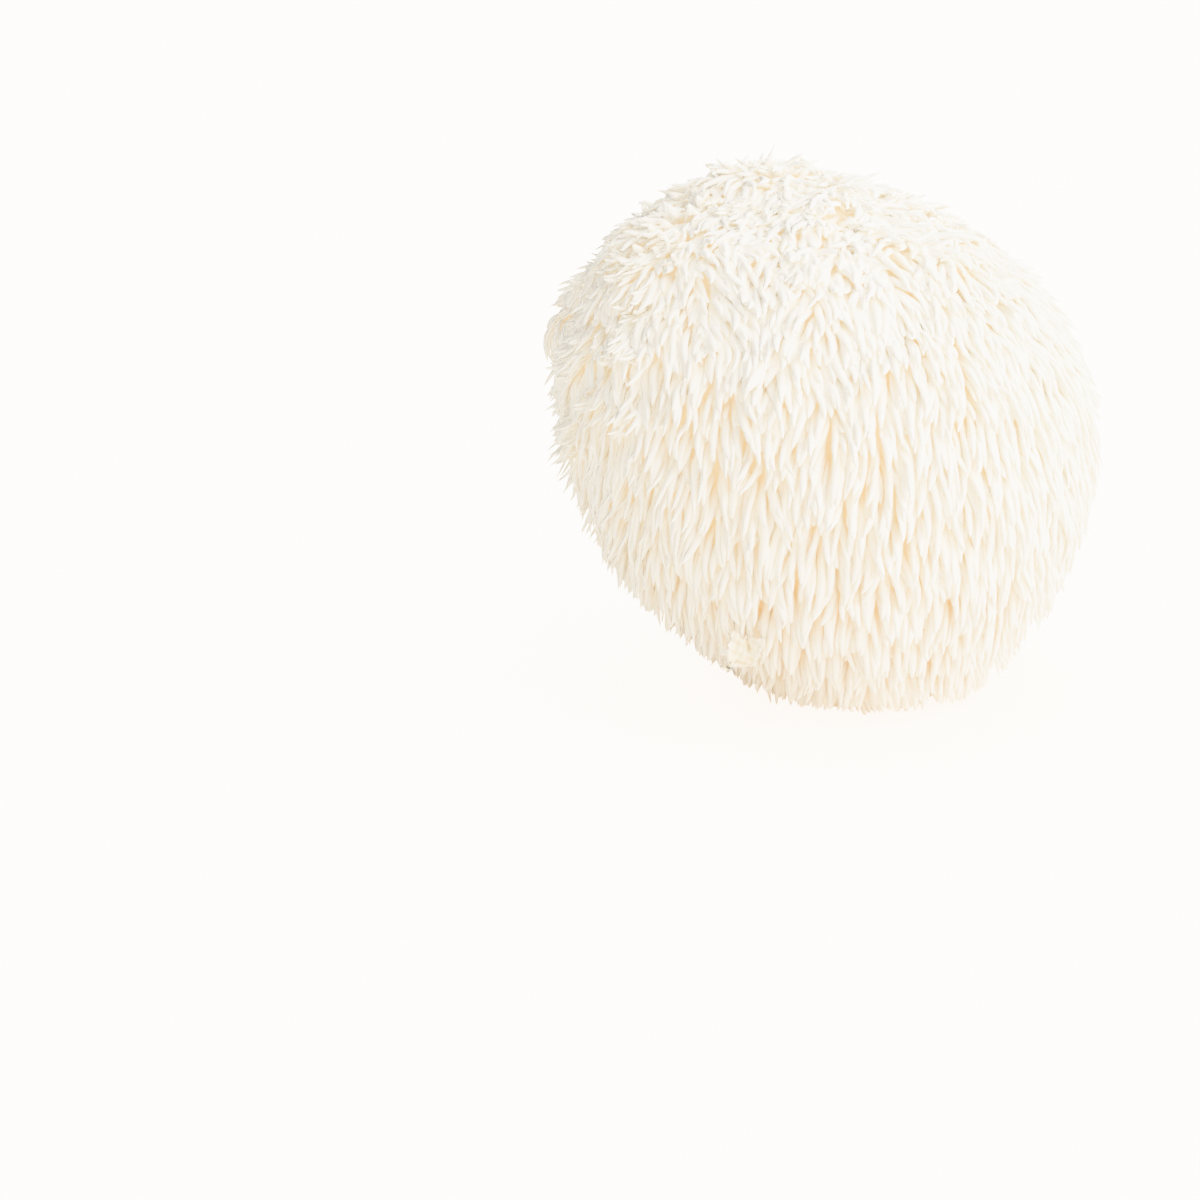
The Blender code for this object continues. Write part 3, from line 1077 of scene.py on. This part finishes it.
class SpineTree(Graph):
    """The Geometry Nodes tree that grows one sector's spines on the flesh."""

    HELPERS = ("root", "up", "stature", "lock_root", "lock_chance", "chance_a", "chance_b", "under", "reach", "length")
    STRAND_HELPERS = ("along", "tint", "around")
    # What each random draw adds to the seed.
    DRAWS = {"coat": 0, "locks": 1, "lock_chance": 2, "chance_a": 3, "chance_b": 4, "undercoat": 7}

    # Where spines hang free, in metres and as the height of a unit vector: near the neck, under the ball, and
    # where a strand has come round below it.
    NECK_AWAY = (0.042, 0.027)
    NECK_HEIGHT = (0.040, 0.030)
    UNDER_FACING = (-0.05, -0.65)
    PAST_UNDER = (-0.25, -0.75)
    # How much the reach and the length vary.
    OWN_REACH, LOCK_REACH, OWN_LENGTH = (0.92, 1.02), (0.88, 1.04), (0.75, 1.15)
    UNDERCOAT = (0.6, 0.8)
    CLUMP_SCALE, DRIFT_SCALE = 85.0, 70.0
    # A hanging spine: the radius over which the ball curves away, the least bend, the greatest length, how far
    # off the ground it ends and how short it may then be, and how far it leans outwards.
    CURVE, LEAST_BEND, LONGEST, OFF_GROUND, SHORTEST, SPLAY = 0.052, 0.02, 0.024, 0.0008, 0.002, 0.10
    # How a lying spine climbs: the steepest way down, the least share of a step that goes along the flesh, and
    # how its height grows with its length.
    SINK, LEAST_RUN = -0.6, 0.15
    FULL_RISE, CURL_LOSS, RISE_POWER = 0.90, 0.14, 1.8
    TUFTED_LOCKS, TUFT_LIFT, STRAY_LIFT = (0.35, 0.85), (0.16, 0.62), (0.32, 0.45)
    # The nodding front, by the X, Y and Z of the way out: where it begins and ends, and how far it leads forward.
    NOD_X, NOD_Y, NOD_Z, NOD = (0.95, -0.20, 0.25, 1.0), (0.55, -0.35), (-0.30, 0.50), -0.85
    # The level crown, where no way leads down: where it begins, and how far locks and spines wander there.
    LEVEL_TOP, LOCK_WANDER, OWN_WANDER = (0.60, 0.95), 0.7, 2.4
    LOCK_LEAN, OWN_LEAN, CALM = 0.45, 0.55, 0.35
    # How much less the locks of the crown gather and level, and how much wider their spines are.
    CROWN_GATHER, CROWN_LEVEL, CROWN_WIDTH = (1.0, 0.45), (1.0, 0.5), (1.0, 1.16)
    SHORTENING = 1.5
    # The section: how it swells from the root, how it tapers to the tip, and how widths differ.
    SWELL, TAPER, LEAST_TIP, OWN_WIDTH = (-0.1, 0.50, 0.6, 1.0), (5.0, 0.65), 0.06, (0.78, 1.22)
    LOWEST = 0.05 * MM

    def __init__(self) -> None:
        """Builds the tree."""
        super().__init__(bpy.data.node_groups.new("spine_coat", "GeometryNodeTree"))
        sizes = {name: "Int" if isinstance(value, int) else "Float" for name, value in SpineForm().inputs().items()}
        self.add_sockets("INPUT", {"Geometry": "Geometry", **sizes, "Sector": "Int", "Material": "Material"})
        self.add_sockets("OUTPUT", {"Geometry": "Geometry"})
        self.sizes = self.given()
        strands = self.lead_strands(self.start_strands(self.scatter_roots()))
        spines = self.out("GeometryNodeRealizeInstances", {"Geometry": self.clothe_strands(strands)})
        inputs = {"Geometry": spines, "Material": self.sizes["Material"]}
        self.node("NodeGroupOutput", {0: self.out("GeometryNodeSetMaterial", inputs)})

    def numbers(self, name: str) -> list[Wire]:
        """The three numbers of a stored vector."""
        return self.attribute(name, VECTOR).parts()

    def seed(self, draw: str) -> Wire:
        """The seed of one random draw."""
        return self.sizes["Seed"] + self.DRAWS[draw]

    def scatter(self, spacing: str, where: str, draw: str) -> bpy.types.Node:
        """Scatters points over the flesh.

        Args:
            spacing: The input that gives the least distance between two.
            where: The region value that gives how many there are.
            draw: The random draw.

        Returns:
            The node that has the points and their normals.
        """
        least = self.sizes[spacing]
        inputs = {
            "Mesh": self.sizes["Geometry"],
            "Distance Min": least,
            "Density Max": 3.0 / (least * least),
            "Density Factor": self.attribute(where),
            "Seed": self.seed(draw),
        }
        return self.node("GeometryNodeDistributePointsOnFaces", inputs, distribute_method="POISSON")

    def scatter_roots(self) -> Wire:
        """Scatters the roots, and stores on each what its spine and its lock need.

        Returns:
            The points of this sector's roots.
        """
        coat = self.scatter("Coat Spacing", "cover", "coat")
        undercoat = self.scatter("Undercoat Spacing", "fill", "undercoat")
        both = self.node("GeometryNodeJoinGeometry")
        for near, share in ((undercoat, self.attribute("crown").ramp(*self.UNDERCOAT)), (coat, 1.0)):
            points = self.store(near.outputs["Points"], "up", near.outputs["Normal"], VECTOR)
            self.fill(both, {0: self.store(points, "stature", share)})
        points = both.outputs[0]
        locks = self.scatter("Lock Spacing", "cover", "locks").outputs["Points"]
        place = self.out("GeometryNodeInputPosition")
        number = self.out("GeometryNodeInputIndex")
        nearest = self.out("GeometryNodeSampleNearest", {"Geometry": locks, "Sample Position": place})
        inputs = {"Geometry": locks, "Value": place, "Index": nearest}
        points = self.store(points, "root", place, VECTOR)
        points = self.store(points, "lock_root", self.out("GeometryNodeSampleIndex", inputs, data_type=VECTOR), VECTOR)
        for name, owner in (("lock_chance", nearest), ("chance_a", number), ("chance_b", number)):
            inputs = {"Min": (0.0, 0.0, 0.0), "Max": (1.0, 1.0, 1.0), "ID": owner, "Seed": self.seed(name)}
            points = self.store(points, name, self.out("FunctionNodeRandomValue", inputs, data_type=VECTOR), VECTOR)
        inputs = {"A": self.attribute("sector", "INT"), "B": self.sizes["Sector"]}
        others = self.out("FunctionNodeCompare", inputs, data_type="INT", operation="NOT_EQUAL")
        return self.out("GeometryNodeDeleteGeometry", {"Geometry": self.store_reach(points), "Selection": others})

    def store_reach(self, points: Wire) -> Wire:
        """Stores how far each spine stands off the flesh and how long it is.

        A spine on the mane runs its full span. One under the ball hangs straight, so it ends where it reaches the
        height of the other tips, or just above the ground.

        Args:
            points: The roots.

        Returns:
            The roots with under, reach and length stored.
        """
        chance, _, pick = self.numbers("chance_a")
        lock_pick = self.numbers("lock_chance")[2]
        facing = self.numbers("up")[2]
        root = self.attribute("root", VECTOR)
        x, y, height = root.parts()
        stature = self.attribute("stature")
        by_neck = self.join(x, y).through("LENGTH").ease(*self.NECK_AWAY) * height.ease(*self.NECK_HEIGHT)
        under = facing.ease(*self.UNDER_FACING).at_least(by_neck)
        clump = self.noise(root, self.CLUMP_SCALE, normalize=False) * (self.attribute("tousle") * self.sizes["Clump"])
        reach = chance.ramp(*self.OWN_REACH) * lock_pick.ramp(*self.LOCK_REACH) * (1.0 + clump) * stature
        depth = self.attribute("depth") * reach
        bend = (1.0 - facing * facing).at_least(self.LEAST_BEND)
        steep = facing.through("ABSOLUTE")
        grown = depth * (bend * 2.0) / self.CURVE
        drop = ((steep * steep + grown).through("SQRT") - steep) * self.CURVE / bend
        span = self.attribute("span") * (stature * pick.ramp(*self.OWN_LENGTH))
        to_ground = height - self.OFF_GROUND
        length = by_neck.ramp(under.ramp(span, drop.at_most(self.LONGEST)), to_ground)
        length = length.at_most(to_ground.at_least(self.SHORTEST))
        for name, value in (("under", under), ("reach", depth), ("length", length)):
            points = self.store(points, name, value)
        return points

    def start_strands(self, points: Wire) -> Wire:
        """Starts the strands.

        Args:
            points: The roots.

        Returns:
            One curve on each root, whose points all still lie there.
        """
        inputs = {"Count": self.sizes["Steps"] + 1.0, "Offset": (0.0, 0.0, 0.0)}
        line = self.out("GeometryNodeMeshLine", inputs, mode="OFFSET", count_mode="TOTAL")
        strand = self.out("GeometryNodeMeshToCurve", {"Mesh": line})
        placed = self.out("GeometryNodeInstanceOnPoints", {"Points": points, "Instance": strand})
        return self.out("GeometryNodeRealizeInstances", {"Geometry": placed})

    def lead_strands(self, strands: Wire) -> Wire:
        """Leads the strands step by step: each step moves every point that lies further along the strand.

        Args:
            strands: Curves with all their points at the root.

        Returns:
            The grown curves.
        """
        zone_in, zone_out = self.node("GeometryNodeRepeatInput"), self.node("GeometryNodeRepeatOutput")
        zone_in.pair_with_output(zone_out)
        self.fill(zone_in, {"Iterations": self.sizes["Steps"], "Geometry": strands})
        turn = Wire(self, zone_in.outputs["Iteration"])
        index = self.out("GeometryNodeSplineParameter", output="Index")
        ahead = self.out("FunctionNodeCompare", {"A": index, "B": turn}, data_type="INT", operation="GREATER_THAN")
        inputs = {"Geometry": zone_in.outputs["Geometry"], "Selection": ahead, "Offset": self.step(turn)}
        self.fill(zone_out, {"Geometry": self.out("GeometryNodeSetPosition", inputs)})
        return Wire(self, zone_out.outputs["Geometry"])

    def step(self, turn: Wire) -> Wire:
        """The next step of a strand from where it has come to: along the flesh on the mane, or hanging below it.

        Args:
            turn: The step's number, from 0.

        Returns:
            The step as a vector.
        """
        begun, done = self.progress(turn), self.progress(turn + 1.0)
        share = done - begun
        run = self.attribute("length") * share
        out, height = self.outward(self.out("GeometryNodeInputPosition"))
        flow = self.flow(out)
        side = out.cross(flow).through("NORMALIZE")
        swing = self.swing(begun)

        way = (flow + side * swing).through("NORMALIZE")
        climb = (self.attribute("reach") * self.rise(done) - height).at_most(run).at_least(run * self.SINK)
        along_flesh = (1.0 - (climb / run) ** 2.0).at_least(self.LEAST_RUN).through("SQRT")
        lying = way * (run * along_flesh) + out * climb

        outside = self.join(*self.numbers("up")[:2])
        hang = (outside * self.SPLAY + DOWN + side * (swing * 0.7)).through("NORMALIZE") * run

        under = self.attribute("under").at_least(out.parts()[2].ease(*self.PAST_UNDER))
        moved = self.out("ShaderNodeMix", {"Factor": under, "A": lying, "B": hang}, data_type="VECTOR")
        return moved + self.gathering(out, flow) * (begun * 2.0 * share)

    def progress(self, turn: Wire) -> Wire:
        """The share of a strand's length that lies behind a numbered point. The steps shorten towards the tip."""
        left = (1.0 - turn / self.sizes["Steps"]).at_least(0.0)
        return 1.0 - left**self.SHORTENING

    def outward(self, place: Wire) -> tuple[Wire, Wire]:
        """Looks from a place to the flesh.

        Args:
            place: The place.

        Returns:
            The way out from the flesh there, and how far off the flesh the place is.
        """
        inputs = {"Geometry": self.sizes["Geometry"], "Sample Position": place}
        near = self.node("GeometryNodeProximity", inputs, target_element="FACES")
        away = place - Wire(self, near.outputs["Position"])
        out = away + self.attribute("up", VECTOR) * (2.0 * MM)
        return out.through("NORMALIZE"), Wire(self, near.outputs["Distance"])

    def flow(self, out: Wire) -> Wire:
        """The way along the flesh that the coat lies: down, forward over the nodding front, and astray on the crown.

        Args:
            out: The way out from the flesh.

        Returns:
            A unit vector.
        """
        x, y, z = out.parts()
        nod = y.ease(*self.NOD_Y) * z.ease(*self.NOD_Z) * x.ease(*self.NOD_X)
        slope = self.join(0.0, nod * self.NOD, -1.0).beside(out)
        lock, own = (
            self.join(*(number - 0.5 for number in self.numbers(name)[:2])) for name in ("lock_chance", "chance_b")
        )
        wander = (lock * self.LOCK_WANDER + own * self.OWN_WANDER).beside(out)
        return (slope + wander * z.ease(*self.LEVEL_TOP)).through("NORMALIZE")

    def swing(self, begun: Wire) -> Wire:
        """How far a strand leans to the side: its lock's lean, its own, and a slow wave along it.

        Args:
            begun: How much of the strand lies behind this step, from 0 to 1.

        Returns:
            The lean as a slope.
        """
        lock_x, lock_y, _ = self.numbers("lock_chance")
        chance_x, chance_y, _ = self.numbers("chance_b")
        phase = lock_x * 6.28 + chance_x * 1.6
        wave = (phase + begun * (4.0 + lock_y * 4.0)).through("SINE") * self.sizes["Wave"]
        place = self.out("GeometryNodeInputPosition")
        drift = self.noise(place, self.DRIFT_SCALE, normalize=False) * self.sizes["Drift"]
        lean = wave + drift + ((lock_y - 0.5) * self.LOCK_LEAN + (chance_y - 0.5) * self.OWN_LEAN)
        return lean * (self.CALM + self.attribute("tousle"))

    def rise(self, done: Wire) -> Wire:
        """How a strand stands off the flesh: slowly out, then lying over, its tip curling.

        Args:
            done: How much of the strand lies behind the end of this step, from 0 to 1.

        Returns:
            The share of its reach.
        """
        curl = self.attribute("curl")
        own, lock = self.numbers("chance_b")[0], self.numbers("lock_chance")[0]
        rise = (self.FULL_RISE - curl * self.CURL_LOSS) * (1.0 - (1.0 - done) ** self.RISE_POWER)
        tuft = lock.ease(*self.TUFTED_LOCKS) * curl.ramp(*self.TUFT_LIFT)
        stray = own * own * curl.ramp(*self.STRAY_LIFT)
        return rise + done**3.0 * (tuft + stray)

    def gathering(self, out: Wire, flow: Wire) -> Wire:
        """What draws a strand to the middle of its lock, and its tip to the height of the others.

        Args:
            out: The way out from the flesh.
            flow: The way along it that the coat lies.

        Returns:
            The whole of the draw, which the steps share.
        """
        crown = self.attribute("crown")
        away = (self.attribute("lock_root", VECTOR) - self.attribute("root", VECTOR)).beside(out)
        gather = self.sizes["Gather"] * crown.ramp(*self.CROWN_GATHER)
        level = self.sizes["Level"] * crown.ramp(*self.CROWN_LEVEL)
        return away * gather + flow * (away.dot(flow) * (level - gather))

    def clothe_strands(self, strands: Wire) -> Wire:
        """Gives the grown strands their tapered, flattened section and their strand map.

        Args:
            strands: The grown curves.

        Returns:
            The mesh of the spines.
        """
        factor = self.out("GeometryNodeSplineParameter", output="Factor")
        strands = self.out("GeometryNodeSetCurveNormal", {"Curve": strands, "Normal": self.broadside()}, mode="FREE")
        strands = self.store(self.store(strands, "along", factor), "tint", self.tint())
        sharpness, bluntness = self.TAPER
        taper = (1.0 - factor**sharpness) ** bluntness
        body = factor.ease(*self.SWELL) * taper.at_least(self.LEAST_TIP)
        half = self.sizes["Half Width"] * self.attribute("crown").ramp(*self.CROWN_WIDTH)
        half = half * self.numbers("chance_b")[2].ramp(*self.OWN_WIDTH) * body
        inputs = {"Resolution": self.sizes["Sides"], "Radius": 1.0}
        section = self.out("GeometryNodeCurvePrimitiveCircle", inputs, mode="RADIUS")
        inputs = {"Geometry": section, "Scale": self.join(self.sizes["Flatness"], 1.0, 1.0)}
        section = self.out("GeometryNodeTransform", inputs)
        section = self.store(section, "around", self.out("GeometryNodeInputIndex") / self.sizes["Sides"])
        inputs = {"Curve": strands, "Profile Curve": section, "Scale": half, "Fill Caps": True}
        mesh = self.out("GeometryNodeCurveToMesh", inputs)
        x, y, height = self.out("GeometryNodeInputPosition").parts()
        inputs = {"Geometry": mesh, "Position": self.join(x, y, height.at_least(self.LOWEST))}
        mesh = self.out("GeometryNodeSetPosition", inputs)
        mesh = self.out("GeometryNodeSetShadeSmooth", {"Geometry": mesh, "Shade Smooth": True})
        across = self.attribute("tint") * 0.92 + self.attribute("around") * 0.06 + 0.01
        return self.store(mesh, STRAND_MAP, self.join(across, self.attribute("along")), "FLOAT2", "CORNER")

    def broadside(self) -> Wire:
        """The way that the broad side of a strand faces at each point: square to the strand, away from the flesh.

        Returns:
            A unit vector.
        """
        grown = self.out("GeometryNodeInputPosition") - self.attribute("root", VECTOR)
        mean = self.out("GeometryNodeFieldOnDomain", {"Value": grown}, data_type=VECTOR, domain="CURVE")
        side = self.attribute("up", VECTOR).cross(mean) + (0.00002, 0.00001, 0.0)
        return self.out("GeometryNodeInputTangent").cross(side.through("NORMALIZE")).through("NORMALIZE")

    def tint(self) -> Wire:
        """Each spine's tint from 0, warm, to 1, pale: its own and its lock's by chance, and its place's painted warmth.

        Returns:
            One number for each spine.
        """
        own, lock = self.numbers("chance_a")[1], self.numbers("lock_chance")[0]
        tint = own * 0.5 + lock * 0.35 + 0.25 - self.attribute("warmth") * 0.4
        return tint.at_least(0.0).at_most(1.0)

    def grow(
        self, flesh: bpy.types.Object, sector: Sector, form: SpineForm, material: bpy.types.Material
    ) -> bpy.types.Object:
        """Grows one sector's spines and makes them a plain mesh.

        Args:
            flesh: The flesh's object.
            sector: The sector to grow.
            form: The sizes to grow to.
            material: The spines' finish.

        Returns:
            The sector's object.
        """
        base = add_object("spine_base", flesh.data)
        modifier = base.modifiers.new("spines", "NODES")
        modifier.node_group = self.tree
        given = {**form.inputs(), "Sector": sector.number, "Material": material}
        for item in self.tree.interface.items_tree:
            if item.in_out == "INPUT" and item.name in given:
                modifier[item.identifier] = given[item.name]
        evaluated = base.evaluated_get(bpy.context.evaluated_depsgraph_get())
        mesh = bpy.data.meshes.new_from_object(evaluated)
        mesh.name = sector.value
        bpy.data.objects.remove(base)
        for name in (*self.HELPERS, *self.STRAND_HELPERS, *Flesh.REGIONS):
            if name in mesh.attributes:
                mesh.attributes.remove(mesh.attributes[name])
        mesh.materials.clear()
        mesh.materials.append(material)
        return add_object(sector.value, mesh)


@dataclass
class Studio:
    """The plain pale floor, the soft lights and the camera.

    Attributes:
        middle: The middle of the ball, which the framing is measured from.
        elevation: How steeply the camera looks down, in radians.
        distance: How far the camera stands from the ball.
        frame_width: How wide a view the camera takes in at the ball.
        aside: How far right of the middle of the view the ball lies.
        above: How far above the middle of the view the ball lies.
        floor_colour: The floor's paper, linear.
        floor_glow: How bright the floor looks by itself, to the camera alone.
        warm_sky: The colour of the world's light from the left.
        sky_strength: How strong the world's light is from the left and from the right.
        bounces: How often light may bounce between the spines.
    """

    middle: Vector
    elevation: float = math.radians(20)
    distance: float = 1.0
    frame_width: float = 0.2862
    aside: float = 0.0537
    above: float = 0.0396
    floor_colour: Triple = (0.90, 0.88, 0.84)
    floor_glow: float = 2.6
    warm_sky: Triple = (1.0, 0.95, 0.86)
    sky_strength: tuple[float, float] = (0.24, 1.52)
    bounces: int = 16

    def build(self) -> None:
        """Makes the floor, the lights, the world and the camera."""
        self.lay_floor()
        self.set_sky()
        self.hang_lamps()
        self.place_camera()

    def lay_floor(self) -> None:
        """A wide pale floor that the mushroom rests on."""
        bm = bmesh.new()
        bmesh.ops.create_grid(bm, x_segments=1, y_segments=1, size=30.0)
        mesh = finish_mesh("floor", bm)
        material = bpy.data.materials.new("floor_paper")
        material.use_nodes = True
        graph = Graph(material.node_tree)
        inputs = {
            "Base Color": (*self.floor_colour, 1.0),
            "Roughness": 0.9,
            "Specular IOR Level": 0.1,
            "Emission Color": (1.0, 1.0, 1.0, 1.0),
            "Emission Strength": graph.out("ShaderNodeLightPath", output="Is Camera Ray") * self.floor_glow,
        }
        graph.fill(graph.tree.nodes["Principled BSDF"], inputs)
        mesh.materials.append(material)
        add_object("floor", mesh)

    def set_sky(self) -> None:
        """A bright world, warmer and weaker on the left, and how its light is traced."""
        world = bpy.data.worlds.new("studio")
        world.use_nodes = True
        graph = Graph(world.node_tree)
        across = graph.out("ShaderNodeTexCoord", output="Generated").parts()[0]
        colour = graph.glaze((1.0, 1.0, 1.0), (across.ramp(1.0, 0.0, -0.8, 0.3), self.warm_sky))
        inputs = {"Color": colour, "Strength": across.ramp(*self.sky_strength, -1.0, 1.0)}
        graph.fill(graph.tree.nodes["Background"], inputs)
        scene = bpy.context.scene
        scene.world = world
        scene.cycles.max_bounces = scene.cycles.diffuse_bounces = self.bounces
        scene.view_settings.view_transform = "Khronos PBR Neutral"

    def hang_lamps(self) -> None:
        """A large key light from the right, and a weak warm fill from the lower left."""
        key = {"angle": math.radians(60.0), "energy": 4.1}
        fill = {"size": 0.5, "energy": 0.8, "color": (1.0, 0.96, 0.90)}
        for name, kind, place, aim, settings in (
            ("key", "SUN", (0.80, -0.36, 0.50), self.middle, key),
            ("low_fill", "AREA", (-0.42, -0.58, 0.04), (-0.01, 0.0, 0.012), fill),
        ):
            lamp = bpy.data.lights.new(name, kind)
            for setting, value in settings.items():
                setattr(lamp, setting, value)
            holder = add_object(name, lamp)
            holder.location = place
            holder.rotation_euler = (Vector(aim) - Vector(place)).to_track_quat("-Z", "Y").to_euler()

    def place_camera(self) -> None:
        """Aims the camera beside and below the ball, so that the ball lies to the upper right."""
        ahead = Vector((0.0, math.cos(self.elevation), -math.sin(self.elevation)))
        upward = Vector((0.0, math.sin(self.elevation), math.cos(self.elevation)))
        aim = self.middle - Vector((self.aside, 0.0, 0.0)) - upward * self.above
        lens = bpy.data.cameras.new("camera")
        lens.sensor_width = 36.0
        lens.lens = lens.sensor_width * self.distance / self.frame_width
        lens.clip_end = 100.0
        camera = add_object("camera", lens)
        camera.location = aim - ahead * self.distance
        camera.rotation_euler = ahead.to_track_quat("-Z", "Y").to_euler()
        bpy.context.scene.camera = camera


def main() -> None:
    """Builds the mushroom and the studio, and reports each piece."""
    logging.basicConfig(level=logging.INFO, format="%(name)s: %(message)s")
    form = BallForm()
    flesh = Flesh(form).build()
    spine_finish = SpineFinish().material("spine_skin")
    tree = SpineTree()
    pieces = [tree.grow(flesh, sector, SpineForm(), spine_finish) for sector in Sector]
    flesh.data.materials.append(FleshFinish().material("flesh"))
    flesh.data.materials.append(CUT_FINISH.material("cut_flesh"))
    flake = Flake(form).build(FLAKE_FINISH.material("torn_skin"))
    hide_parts(NODE)
    for piece in (flesh, *pieces, flake):
        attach(piece, BODY)
        piece.data.calc_loop_triangles()
        LOG.info("%s: %d triangles", piece.name, len(piece.data.loop_triangles))
    Studio(Vector(form.centre)).build()


if __name__ == "__main__":
    main()
